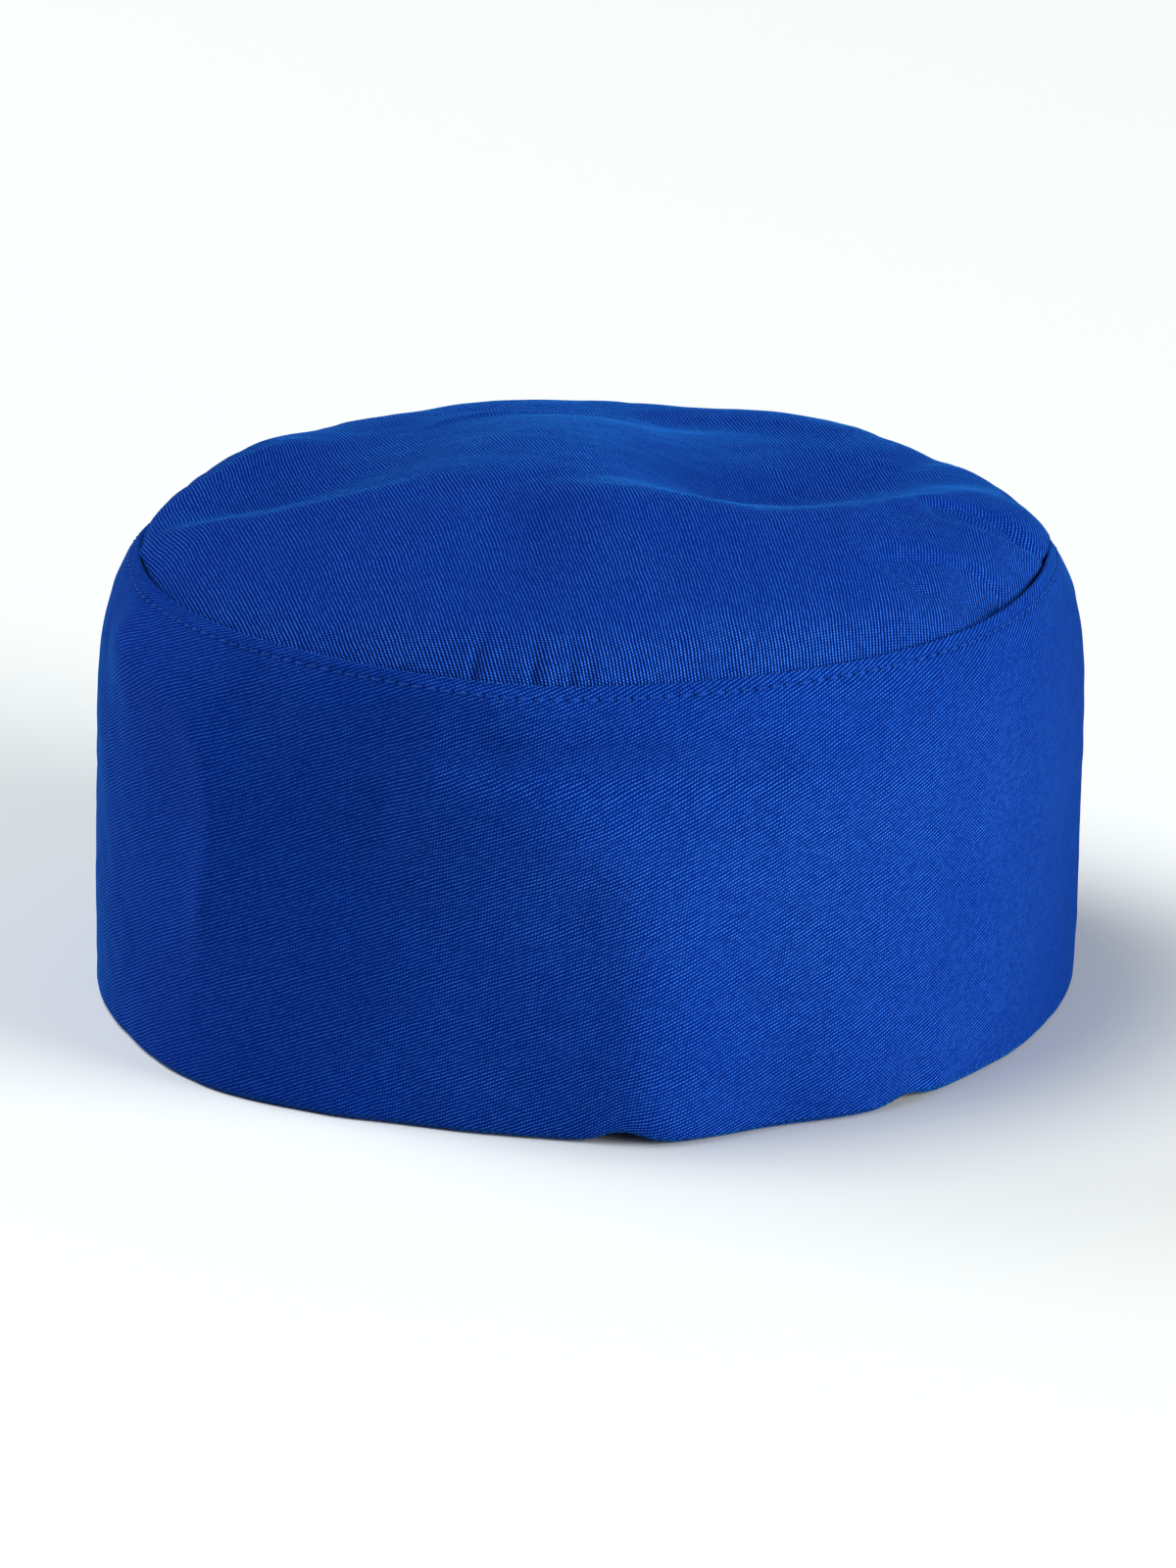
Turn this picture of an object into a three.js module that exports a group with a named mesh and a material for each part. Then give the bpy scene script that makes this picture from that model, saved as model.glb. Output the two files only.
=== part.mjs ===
// A cook's soft skull cap in woven twill, standing on its hem as it would on a table.
// Two cloth pieces: a doubled band, folded at the hem, and a soft crown whose seam allowance is turned
// down inside the band's top edge. Millimetres, +Z up, the front of the cap faces -Y, and the origin is
// on the table under the middle of the head opening.
import * as THREE from "three";

// Size of the band, measured outside at its fullest height.
const halfWidth = 95.9;
const halfDepth = 98.3;
const bandHeight = 89;

// Cloth.
const bandThickness = 2;
const crownThickness = 1.2;
const seamGap = 0.3;
const hemRound = 0.4;

// Shoulder: above this height the band leans in towards the seam, more at the sides than at the front.
const shoulderStart = 55;
const shoulderPower = 3;
const sideInset = 6.9;
const frontInset = 3.4;

// Crown: it puffs up steeply out of the seam and climbs to a dome, which is fuller at the front.
const domeRise = 16.5;
const domePower = 2.1;
const domeLean = 0.2;
const puffRise = 6;
const puffPower = 18;
const creaseSoftness = 1.8;
const rimPower = 5;
const seamAllowance = 10;

// Mesh steps, and the step in degrees and in millimetres that a surface's direction is taken over.
const turnSteps = 96;
const rollSteps = 4;
const normalStep = 0.5;

// How far the soft band stands out of its oval, by the turn from the front towards +X, in degrees,
// at the hem, half way up and at the seam.
const bandStations = [
  { turn: -165, hem: 0, waist: 0, seam: -0.6 },
  { turn: -145, hem: 1, waist: 0.8, seam: 0.4 },
  { turn: -118, hem: -0.6, waist: -0.4, seam: -0.4 },
  { turn: -92, hem: 0, waist: 0.2, seam: -1.6 },
  { turn: -68, hem: -0.3, waist: -0.3, seam: -1 },
  { turn: -49, hem: 1.7, waist: 0.8, seam: -1.4 },
  { turn: -35, hem: -0.8, waist: -1.2, seam: -2 },
  { turn: -21, hem: -3.4, waist: -2.6, seam: -0.8 },
  { turn: -5, hem: -2.2, waist: -1.2, seam: 1.6 },
  { turn: 9, hem: 0, waist: 0, seam: 0.6 },
  { turn: 22, hem: -1.8, waist: -1, seam: 0.5 },
  { turn: 34, hem: -0.5, waist: -0.4, seam: 1 },
  { turn: 50, hem: -2.3, waist: -0.8, seam: 1.8 },
  { turn: 72, hem: -3, waist: -0.8, seam: 0.9 },
  { turn: 94, hem: -0.8, waist: 1, seam: 0.6 },
  { turn: 114, hem: 0.4, waist: 0, seam: -0.8 },
  { turn: 131, hem: 0.2, waist: -1, seam: -3.6 },
  { turn: 149, hem: 0.4, waist: -0.4, seam: -1.4 },
  { turn: 166, hem: -0.6, waist: -0.8, seam: -3 },
  { turn: 180, hem: -1, waist: -1, seam: -1 },
];

// Soft folds and dents of the band: where, how wide and tall, and how far out.
const bandFolds = [
  { name: "left edge", turn: -53, height: 62, wide: 9, tall: 24, out: 1.0 },
  { name: "left shoulder", turn: -70, height: 80, wide: 22, tall: 7, out: 0.9 },
  { name: "front left dent", turn: -24, height: 58, wide: 26, tall: 16, out: -1.8 },
  { name: "groove below the seam", turn: 2, height: 74, wide: 32, tall: 4, out: -0.8 },
  { name: "front edge", turn: 8, height: 18, wide: 10, tall: 30, out: 0.9 },
];

// Places where the hem lifts off the table.
const hemLifts = [
  { turn: 3, wide: 5, lift: 1.2 },
  { turn: 39, wide: 6, lift: 1.1 },
];
const hemLiftReach = 24;

// The soft crease where the dome from the front ends and the crown drops to a lower, dished top: how far
// back it lies at each place across, the share of its height that the crown loses behind it, and how far
// behind it the drop takes.
const crease = [
  { x: -88, y: 6, fall: 0.75, reach: 14 },
  { x: -68, y: -24, fall: 0.58, reach: 18 },
  { x: -52, y: -23, fall: 0.5, reach: 24 },
  { x: -36, y: -10, fall: 0.46, reach: 30 },
  { x: -22, y: 6, fall: 0.4, reach: 36 },
  { x: -8, y: 12, fall: 0.38, reach: 40 },
  { x: 2, y: -12, fall: 0.38, reach: 40 },
  { x: 12, y: -32, fall: 0.45, reach: 34 },
  { x: 30, y: -36, fall: 0.5, reach: 24 },
  { x: 48, y: -25, fall: 0.52, reach: 22 },
  { x: 64, y: -5, fall: 0.54, reach: 20 },
  { x: 88, y: 20, fall: 0.6, reach: 16 },
];

// Hills and dents of the crown: place, length, width, heading of the long side from +X, and rise.
const crownFolds = [
  { name: "middle flat", x: -8, y: 12, long: 28, wide: 22, heading: 90, rise: -2.6 },
  { name: "front valley", x: -16, y: -48, long: 22, wide: 12, heading: 96, rise: -2.4 },
  { name: "front left ridge", x: -40, y: -62, long: 18, wide: 7, heading: 50, rise: 1 },
  { name: "back crest", x: -4, y: 46, long: 28, wide: 6, heading: 8, rise: 2 },
  { name: "left back ridge", x: -70, y: 22, long: 20, wide: 5, heading: 40, rise: 2.6 },
  { name: "left back valley", x: -64, y: 2, long: 16, wide: 8, heading: 40, rise: -1.4 },
  { name: "right back crest", x: 44, y: 58, long: 26, wide: 8, heading: 150, rise: 2.2 },
  { name: "left end roll", x: -78, y: 26, long: 22, wide: 8, heading: 64, rise: 2 },
  { name: "right end roll", x: 80, y: 26, long: 20, wide: 8, heading: 116, rise: 2 },
  { name: "right gather ridge", x: 74, y: -14, long: 14, wide: 4, heading: 160, rise: 1.2 },
  { name: "right gather valley", x: 70, y: -31, long: 15, wide: 5, heading: 158, rise: -1.6 },
];

const cloth = { roughness: 0.88, metalness: 0 };
const bandCloth = new THREE.MeshStandardMaterial({ color: "#0f4aa2", ...cloth });
const crownCloth = new THREE.MeshStandardMaterial({ color: "#124ea6", ...cloth });

const radians = THREE.MathUtils.degToRad;
const bell = (distance, width) => Math.exp(-((distance / width) ** 2));
const angleBetween = (a, b) => ((((a - b + 180) % 360) + 360) % 360) - 180;

// A value between two table rows, on a smooth curve that also heeds the rows before and after them.
function between([before, from, to, after], place, column, at) {
  const slope = (a, b) => (b[column] - a[column]) / (b[place] - a[place]);
  const span = to[place] - from[place];
  const s = (at - from[place]) / span;
  const startSlope = before === from ? slope(from, to) : slope(before, to);
  const endSlope = after === to ? slope(from, to) : slope(from, after);
  return (
    from[column] * (2 * s ** 3 - 3 * s ** 2 + 1) +
    startSlope * span * (s ** 3 - 2 * s ** 2 + s) +
    to[column] * (3 * s ** 2 - 2 * s ** 3) +
    endSlope * span * (s ** 3 - s ** 2)
  );
}

// The stations go all the way round, so three of them are repeated past each end.
const wrappedStations = [
  ...bandStations.slice(-3).map((row) => ({ ...row, turn: row.turn - 360 })),
  ...bandStations,
  ...bandStations.slice(0, 3).map((row) => ({ ...row, turn: row.turn + 360 })),
];

function stationValue(column, turn) {
  const at = angleBetween(turn, 0);
  const i = wrappedStations.findIndex((row) => row.turn > at) - 1;
  return between(wrappedStations.slice(i - 1, i + 3), "turn", column, at);
}

function creaseValue(column, x) {
  const at = THREE.MathUtils.clamp(x, crease[0].x, crease.at(-1).x);
  const i = crease.findIndex((row, k) => k > 0 && row.x >= at);
  const [from, to] = [crease[i - 1], crease[i]];
  return between([crease[i - 2] ?? from, from, to, crease[i + 1] ?? to], "x", column, at);
}

// How far the band stands out of its oval, with its shoulder.
function bandOffset(turn, height) {
  const share = height / bandHeight;
  const stations =
    (1 - share) ** 2 * stationValue("hem", turn) +
    2 * share * (1 - share) * stationValue("waist", turn) +
    share ** 2 * stationValue("seam", turn);
  const folds = bandFolds.reduce((sum, fold) => {
    const along = radians(angleBetween(turn, fold.turn)) * halfWidth;
    return sum + fold.out * bell(along, fold.wide) * bell(height - fold.height, fold.tall);
  }, 0);
  const shoulder = Math.max(0, (height - shoulderStart) / (bandHeight - shoulderStart)) ** shoulderPower;
  const sideShare = Math.sin(radians(turn)) ** 2;
  return stations + folds - shoulder * (frontInset + (sideInset - frontInset) * sideShare);
}

function hemLift(turn) {
  return hemLifts.reduce((sum, row) => {
    const along = radians(angleBetween(turn, row.turn)) * halfWidth;
    return sum + row.lift * bell(along, row.wide);
  }, 0);
}

// A point on the outside of the band.
function bandPoint(turn, height) {
  const out = bandOffset(turn, height);
  const fade = Math.max(0, 1 - height / hemLiftReach) ** 2;
  return new THREE.Vector3(
    (halfWidth + out) * Math.sin(radians(turn)),
    -(halfDepth + out) * Math.cos(radians(turn)),
    height + hemLift(turn) * fade,
  );
}

function bandNormal(turn, height) {
  const along = bandPoint(turn + normalStep, height).sub(bandPoint(turn - normalStep, height));
  const low = Math.max(0, height - normalStep);
  const high = Math.min(bandHeight, height + normalStep);
  const up = bandPoint(turn, high).sub(bandPoint(turn, low));
  return along.cross(up).normalize();
}

const insideBand = (turn, height, depth) =>
  bandPoint(turn, height).addScaledVector(bandNormal(turn, height), -depth);

// One section through the band, all the way round the wall: up outside, over the rolled top edge,
// down inside, and flat across the hem.
const bandHeights = [8, 20, 32, 43, 53, 62, 70, 77, 83, bandHeight];

function bandSection(turn) {
  const lift = hemLift(turn);
  const level = (depth, height) => {
    const inward = bandNormal(turn, 0).setZ(0).normalize();
    return bandPoint(turn, 0).addScaledVector(inward, -depth).setZ(lift + height);
  };
  const topNormal = bandNormal(turn, bandHeight);
  const sideways = bandPoint(turn + normalStep, bandHeight).sub(bandPoint(turn, bandHeight)).normalize();
  const topUp = topNormal.clone().cross(sideways).normalize();
  const rollCentre = insideBand(turn, bandHeight, bandThickness / 2);
  const roll = Array.from({ length: rollSteps - 1 }, (_, i) => {
    const angle = (Math.PI * (i + 1)) / rollSteps;
    return rollCentre
      .clone()
      .addScaledVector(topNormal, (Math.cos(angle) * bandThickness) / 2)
      .addScaledVector(topUp, (Math.sin(angle) * bandThickness) / 2);
  });
  return [
    level(hemRound, 0),
    level(0, hemRound),
    ...bandHeights.map((height) => bandPoint(turn, height)),
    ...roll,
    ...[...bandHeights].reverse().map((height) => insideBand(turn, height, bandThickness)),
    level(bandThickness, hemRound),
    level(bandThickness - hemRound, 0),
  ];
}

// The whole turn in equal steps, from the back round the left side.
const turns = Array.from({ length: turnSteps }, (_, i) => -180 + (360 * i) / turnSteps);

// Joins sections that close on themselves into one closed ring of wall.
function ringGeometry(sections) {
  const count = sections[0].length;
  const positions = sections.flat().flatMap((p) => p.toArray());
  const triangles = [];
  sections.forEach((_, i) => {
    const next = (i + 1) % sections.length;
    for (let j = 0; j < count; j += 1) {
      const above = (j + 1) % count;
      const [a, b] = [i * count + j, next * count + j];
      const [c, d] = [next * count + above, i * count + above];
      triangles.push(a, b, c, a, c, d);
    }
  });
  return indexed(positions, triangles);
}

function indexed(positions, triangles) {
  const geometry = new THREE.BufferGeometry();
  geometry.setAttribute("position", new THREE.Float32BufferAttribute(positions, 3));
  geometry.setIndex(triangles);
  geometry.computeVertexNormals();
  return geometry;
}

function foldHeight(x, y) {
  return crownFolds.reduce((sum, fold) => {
    const heading = radians(fold.heading);
    const [east, north] = [x - fold.x, y - fold.y];
    const along = east * Math.cos(heading) + north * Math.sin(heading);
    const across = north * Math.cos(heading) - east * Math.sin(heading);
    return sum + fold.rise * bell(along, fold.long) * bell(across, fold.wide);
  }, 0);
}

// The share of the crown's height that is left at a place behind the crease; the rim keeps more of it.
function creaseShare(x, y, share) {
  const behind = y - creaseValue("y", x);
  const distance = creaseSoftness * Math.log1p(Math.exp(behind / creaseSoftness));
  const drop = 1 - Math.exp(-distance / creaseValue("reach", x));
  return 1 - creaseValue("fall", x) * drop * (1 - share ** rimPower);
}

// The rings of the crown's upper side from the seam allowance's lower edge to the ring round its middle.
const allowanceDepths = [seamAllowance, seamAllowance / 2, 2.5, 0];
const crownShares = [0.985, 0.96, 0.92, 0.87, 0.81, 0.74, 0.66, 0.57, 0.47, 0.37, 0.27, 0.17, 0.08];
const crownDepth = bandThickness + seamGap;

// A point on top of the crown, at a share of the way from its middle out to the seam.
function crownPoint(turn, share) {
  const edge = insideBand(turn, bandHeight, crownDepth);
  const [x, y] = [edge.x * share, edge.y * share];
  const puff = 1 - share ** puffPower;
  const lean = 1 - (domeLean * y) / halfDepth;
  const dome = puffRise + domeRise * (1 - share ** domePower) * lean;
  const height = dome * creaseShare(x, y, share) + foldHeight(x, y);
  return new THREE.Vector3(x, y, edge.z + puff * height);
}

const crownRings = [
  ...allowanceDepths.map((depth) => turns.map((turn) => insideBand(turn, bandHeight - depth, crownDepth))),
  ...crownShares.map((share) => turns.map((turn) => crownPoint(turn, share))),
];
const crownTop = crownPoint(0, 0);

// The cloth's other side: each point moved in, square to the sheet, by the cloth's thickness.
function underside(rings, top) {
  const below = (i, j) => {
    const ring = rings[i];
    const count = ring.length;
    const along = ring[(j + 1) % count].clone().sub(ring[(j + count - 1) % count]);
    const inner = i + 1 < rings.length ? rings[i + 1][j] : top;
    const across = inner.clone().sub(i > 0 ? rings[i - 1][j] : ring[j]);
    return ring[j].clone().addScaledVector(along.cross(across).normalize(), -crownThickness);
  };
  return rings.map((ring, i) => ring.map((_, j) => below(i, j)));
}

// Joins rings from one middle point, out over the edge and back to the other middle point.
function capGeometry(rings, first, last) {
  const count = rings[0].length;
  const positions = [first, ...rings.flat(), last].flatMap((p) => p.toArray());
  const lastIndex = rings.length * count + 1;
  const at = (i, j) => 1 + i * count + (j % count);
  const triangles = [];
  for (let j = 0; j < count; j += 1) {
    triangles.push(0, at(0, j), at(0, j + 1));
    triangles.push(lastIndex, at(rings.length - 1, j + 1), at(rings.length - 1, j));
    for (let i = 0; i + 1 < rings.length; i += 1) {
      triangles.push(at(i, j), at(i + 1, j), at(i + 1, j + 1), at(i, j), at(i + 1, j + 1), at(i, j + 1));
    }
  }
  return indexed(positions, triangles);
}

const band = new THREE.Mesh(ringGeometry(turns.map(bandSection)), bandCloth);
band.name = "band";

const crownBottom = crownTop.clone().setZ(crownTop.z - crownThickness);
const crownLayers = [...[...crownRings].reverse(), ...underside(crownRings, crownTop)];
const crown = new THREE.Mesh(capGeometry(crownLayers, crownTop, crownBottom), crownCloth);
crown.name = "crown";

const cap = new THREE.Group();
cap.add(band, crown);

export default cap;
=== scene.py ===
# A cook's soft skull cap in royal blue twill, on a pale floor in soft studio light.
# Sizes are in millimetres and degrees up to the point where a mesh is made, which is in metres.
import math

import bpy
import numpy as np
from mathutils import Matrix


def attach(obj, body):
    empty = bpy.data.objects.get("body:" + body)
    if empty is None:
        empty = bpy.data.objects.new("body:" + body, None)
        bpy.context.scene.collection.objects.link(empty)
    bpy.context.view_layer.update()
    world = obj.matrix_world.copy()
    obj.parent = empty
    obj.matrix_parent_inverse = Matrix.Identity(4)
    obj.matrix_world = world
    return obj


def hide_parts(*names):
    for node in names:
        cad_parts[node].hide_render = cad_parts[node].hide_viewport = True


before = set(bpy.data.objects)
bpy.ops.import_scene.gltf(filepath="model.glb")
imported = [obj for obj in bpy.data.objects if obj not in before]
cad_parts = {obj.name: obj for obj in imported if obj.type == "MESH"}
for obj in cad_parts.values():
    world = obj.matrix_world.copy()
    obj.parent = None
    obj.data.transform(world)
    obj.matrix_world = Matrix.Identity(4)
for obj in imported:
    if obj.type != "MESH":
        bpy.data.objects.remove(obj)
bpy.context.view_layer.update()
mm = 0.001
scene = bpy.context.scene


def bell(distance, width):
    return np.exp(-((distance / width) ** 2))


def angleBetween(a, b):
    return (a - b + 180) % 360 - 180


def unit(vectors):
    return vectors / np.linalg.norm(vectors, axis=-1, keepdims=True)


# Lengths along the rows of an array of points, from 0.
def lengthsAlong(points):
    steps = np.linalg.norm(np.diff(points, axis=0), axis=-1)
    return np.concatenate([np.zeros((1, *steps.shape[1:])), np.cumsum(steps, axis=0)])


# A smooth curve through table rows, which also heeds the rows before and after.
def curveThrough(places, values, at):
    places, values = np.asarray(places, float), np.asarray(values, float)
    slopes = np.empty(len(places))
    slopes[1:-1] = (values[2:] - values[:-2]) / (places[2:] - places[:-2])
    slopes[0] = (values[1] - values[0]) / (places[1] - places[0])
    slopes[-1] = (values[-1] - values[-2]) / (places[-1] - places[-2])
    at = np.clip(at, places[0], places[-1])
    i = np.clip(np.searchsorted(places, at, side="right") - 1, 0, len(places) - 2)
    span = places[i + 1] - places[i]
    s = (at - places[i]) / span
    return (
        values[i] * (2 * s**3 - 3 * s**2 + 1)
        + slopes[i] * span * (s**3 - 2 * s**2 + s)
        + values[i + 1] * (3 * s**2 - 2 * s**3)
        + slopes[i + 1] * span * (s**3 - s**2)
    )


# Soft unevenness of hand-handled cloth: a few seeded waves of about one length in all directions.
def unevenness(seed, a, b, length, count=9, spread=(0.7, 1.5)):
    chance = np.random.default_rng(seed)
    total = np.zeros(np.broadcast(a, b).shape)
    for _ in range(count):
        heading = chance.uniform(0, 2 * math.pi)
        wave = length * chance.uniform(*spread)
        start = chance.uniform(0, 2 * math.pi)
        total += np.cos((a * math.cos(heading) + b * math.sin(heading)) * 2 * math.pi / wave + start)
    return total / math.sqrt(count)


# Rows of unevenness: seed, length, rise.
def waveSum(waves, a, b):
    return sum(rise * unevenness(seed, a, b, length) for seed, length, rise in waves)


# Distance from a path, negative on its left side, and how far along it the nearest point is.
def fromPath(a, b, path, count=48):
    path = np.array(path, float)
    places = np.arange(len(path))
    at = np.linspace(0, len(path) - 1, count)
    line = np.stack([curveThrough(places, path[:, 0], at), curveThrough(places, path[:, 1], at)], axis=-1)
    lengths = lengthsAlong(line)
    best = np.full(a.shape, np.inf)
    side = np.zeros(a.shape)
    along = np.zeros(a.shape)
    for k in range(count - 1):
        step = line[k + 1] - line[k]
        size = np.linalg.norm(step)
        east, north = a - line[k, 0], b - line[k, 1]
        share = np.clip((east * step[0] + north * step[1]) / size**2, 0, 1)
        gap = np.hypot(east - share * step[0], north - share * step[1])
        nearer = gap < best
        best = np.where(nearer, gap, best)
        side = np.where(nearer, np.sign(step[1] * east - step[0] * north), side)
        along = np.where(nearer, lengths[k] + share * size, along)
    return best * side, along, lengths[-1]


# Ridges and hollows along paths: how wide to the left and right of the path, how rounded its top is,
# how far out it stands, and over what length it dies away at both ends.
def lineRelief(a, b, lines, scale=(1, 1)):
    total = np.zeros(a.shape)
    for row in lines:
        path = [(p[0] * scale[0], p[1] * scale[1]) for p in row["path"]]
        gap, along, length = fromPath(a, b, path)
        left, right = row["wide"]
        ends = np.clip(np.minimum(along, length - along) / row["fade"], 0, 1)
        ends = ends * ends * (3 - 2 * ends)
        wide = np.where(gap < 0, left, right)
        soft = row.get("soft")
        shape = bell(gap, wide) if soft is None else np.exp((soft - np.hypot(gap, soft)) / wide)
        total += row["out"] * shape * ends
    return total


# Normals of a grid of points whose columns go round.
def gridNormals(points):
    around = np.roll(points, -1, axis=1) - np.roll(points, 1, axis=1)
    across = np.gradient(points, axis=0)
    return unit(np.cross(around, across))


def meshObject(name, vertices, faces):
    mesh = bpy.data.meshes.new(name)
    mesh.from_pydata((np.asarray(vertices) * mm).tolist(), [], faces)
    mesh.polygons.foreach_set("use_smooth", [True] * len(mesh.polygons))
    mesh.update()
    obj = bpy.data.objects.new(name, mesh)
    scene.collection.objects.link(obj)
    return obj


# A mesh from a grid whose columns go round; the rows close on themselves, or at a middle point.
def gridObject(name, points, uvs, middles=None):
    rows, columns = points.shape[:2]
    vertices = points.reshape(-1, 3)
    flatUvs = uvs.reshape(-1, 2)
    column = np.arange(columns)
    after = (column + 1) % columns
    # where the columns close, the cloth's length goes on instead of starting again
    period = uvs[:, -1, :] + (uvs[:, -1, :] - uvs[:, -2, :])
    loops, corners = [], []
    for i in range(rows if middles is None else rows - 1):
        j = (i + 1) % rows
        quad = np.stack(
            [i * columns + column, i * columns + after, j * columns + after, j * columns + column], axis=1
        )
        loops.append(quad)
        corner = flatUvs[quad].copy()
        if middles is None:
            corner[-1, 1] = period[i]
            corner[-1, 2] = period[j]
        corners.append(corner.reshape(-1, 2))
    faces = np.concatenate(loops).tolist()
    if middles is not None:
        first, firstUv, end, endUv = middles
        vertices = np.concatenate([vertices, [first, end]])
        a, b = len(vertices) - 2, len(vertices) - 1
        lastRow = (rows - 1) * columns
        for j in range(columns):
            k = int(after[j])
            faces.append([a, k, j])
            faces.append([b, lastRow + j, lastRow + k])
            corners.append([firstUv, uvs[0, k], uvs[0, j]])
            corners.append([endUv, uvs[-1, j], uvs[-1, k]])
    obj = meshObject(name, vertices, faces)
    cornerUvs = np.concatenate(corners).astype(np.float32)
    obj.data.uv_layers.new(name="weave").data.foreach_set("uv", cornerUvs.ravel())
    obj.data.validate()
    return obj


# The band: a tall doubled strip of twill, folded at the hem. The oval and the cloth are as in the CAD.
band = {
    "halfWidth": 95.9,
    "halfDepth": 98.3,
    "height": 89,
    "thickness": 2,
    "edgeThickness": 0.9,  # the folded top edge is thinner than the padded band below it
    "edgeReach": 9,
    "shoulderStart": 55,
    "shoulderPower": 3,
    "sideInset": 6.9,
    "frontInset": 3.4,
    "liftReach": 24,  # a lifted hem is felt this far up
    "dipPower": 6,  # and a dip of the top edge only near that edge
    "hemRound": 1,
    "meanRadius": 96,
    "mmPerDegree": 1.676,  # of turn, round the band
    "lengthHeight": 45,  # the cloth's length is measured round the band at this height
    # how far it stands out of its oval, by the turn from the front towards +X:
    # turn, at the hem, half way up, at the seam
    "stations": [
        (-165, 0, 0, -0.6),
        (-145, 1, 0.8, -2.4),
        (-118, -0.6, -0.4, -3.6),
        (-92, 0, 0.2, -1.8),
        (-68, -0.3, -0.3, -1),
        (-49, 1.5, 0.4, -1.4),
        (-35, -0.8, -1.2, -2),
        (-21, -3.4, -2.6, -0.8),
        (-5, -2.2, -1.2, 1.6),
        (9, 0, 0, 0.6),
        (22, -1.8, -1, 0.5),
        (34, -0.5, -0.4, 1),
        (50, -2.3, -0.8, 1.8),
        (72, -3, -0.8, 0.9),
        (94, -0.8, 1, 0.6),
        (114, 0.4, 0, -0.8),
        (131, 0.2, -1, -3.6),
        (149, 0.4, -0.4, -1.4),
        (166, -0.6, -0.8, -3),
        (180, -1, -1, -1),
    ],
    # soft folds and dents: turn, height, width, tallness, how far out
    "folds": [
        (-72, 75, 20, 8, 0.7),  # left shoulder
        (-96, 74, 16, 8, 0.4),  # left end
        (-24, 58, 26, 16, -1.8),  # front left dent
        (2, 74, 32, 4, -0.8),  # groove below the seam
        (8, 18, 10, 30, 0.9),  # front edge
        (21, 64, 15, 12, 1.2),  # fuller front right
    ],
    # where the hem lifts off the table: turn, width, lift
    "hemLifts": [(4, 5, 2.3), (40, 5, 1.5)],
    # where the top edge dips a little: turn, width, drop
    "rimDips": [(-106, 14, 1.1), (101, 16, 1.7)],
    # edges, hollows and creases, by turn and height
    "lines": [
        # the front edge that turns the lit right half away from the left half
        {
            "path": [(-26, 64), (-12, 60), (0, 57), (4.5, 50), (5.5, 34), (6.5, -6)],
            "wide": (26, 22),
            "soft": 3,
            "out": 3.6,
            "fade": 12,
        },
        # the puffed left shoulder and the edge that runs down from it
        {
            "path": [
                (-81, 75.5), (-74, 77.5), (-67, 78), (-57, 76), (-51, 70.5),
                (-48, 62.5), (-47, 51), (-48.5, 36), (-52, 18),
            ],
            "wide": (8, 7),
            "soft": 1.6,
            "out": 3.1,
            "fade": 24,
        },
        # hollow on the dark side of that edge
        {"path": [(-47, 84), (-40, 76), (-36, 64), (-36, 44)], "wide": (7, 14), "out": -1.2, "fade": 14},
        # groove below the seam allowance, and the swell under it
        {"path": [(-20, 77), (-2, 76), (12, 74.5), (28, 70)], "wide": (5, 5), "out": -1.5, "fade": 16},
        {"path": [(-20, 68.5), (-5, 66), (8, 62)], "wide": (6, 7), "out": 1.1, "fade": 12},
    ],
    "stitchDrop": 1.9,  # the stitch row lies this far under the edge
    "stitchGroove": 0.24,
    "stitchGrooveWide": 0.65,
    "edgeRoll": 0.12,
    "edgeRollDrop": 0.6,
    "edgeRollWide": 0.7,
    "edgeCalm": 1.2,  # so close to the edge the folds die away
    "allowanceStep": 0.4,  # the seam allowance inside pads the cloth out
    "allowanceEnd": 10.4,
    "allowanceSoft": 0.8,
    "joinGroove": 0.5,
    "joinGrooveWide": 0.55,
    "joinPad": 0.35,
    "joinPadWide": 8,
    "waves": [(11, 30, 0.16), (12, 9, 0.05)],
    "columns": 640,
    "joinReach": 1,  # the back join is narrower than a column, so it has columns of its own
    "joinColumns": [0.12, 0.24, 0.36, 0.5, 0.7, 0.9],
    "outerRows": [(1, 76, 1.3), (76, 85, 0.75), (85, 88.9, 0.3)],  # from, to, step, closer to the edge
    "innerEdgeRows": [87.5, 86],
    "innerRows": (84, 2, -2.2),
    "rollSteps": 10,
    "hemSteps": 8,
}

turns = -180 + 360 * np.arange(band["columns"]) / band["columns"]
near = np.array(band["joinColumns"])
turns = np.sort(np.concatenate([turns[turns >= -180 + band["joinReach"]], [-180], -180 + near, 180 - near]))
turns = turns[(turns < 180 - band["joinReach"]) | np.isin(turns, 180 - near)]
outerHeights = np.concatenate([np.arange(*row) for row in band["outerRows"]] + [[band["height"]]])
innerHeights = np.concatenate(
    [[band["height"]], band["innerEdgeRows"], np.arange(*band["innerRows"]), outerHeights[:1]]
)


# The table has no ends: its first and last rows also stand before and after it.
def stationValue(column, turn):
    rows = [(r[0] - 360, r[column]) for r in band["stations"][-3:]]
    rows += [(r[0], r[column]) for r in band["stations"]]
    rows += [(r[0] + 360, r[column]) for r in band["stations"][:3]]
    places, values = zip(*rows)
    return curveThrough(places, values, angleBetween(turn, 0))


def bandOffset(turn, height):
    share = height / band["height"]
    out = (
        (1 - share) ** 2 * stationValue(1, turn)
        + 2 * share * (1 - share) * stationValue(2, turn)
        + share**2 * stationValue(3, turn)
    )
    for foldTurn, foldHeight, wide, tall, rise in band["folds"]:
        along = np.radians(angleBetween(turn, foldTurn)) * band["halfWidth"]
        out = out + rise * bell(along, wide) * bell(height - foldHeight, tall)
    start = band["shoulderStart"]
    shoulder = np.maximum(0, (height - start) / (band["height"] - start)) ** band["shoulderPower"]
    sideShare = np.sin(np.radians(turn)) ** 2
    return out - shoulder * (band["frontInset"] + (band["sideInset"] - band["frontInset"]) * sideShare)


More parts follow.
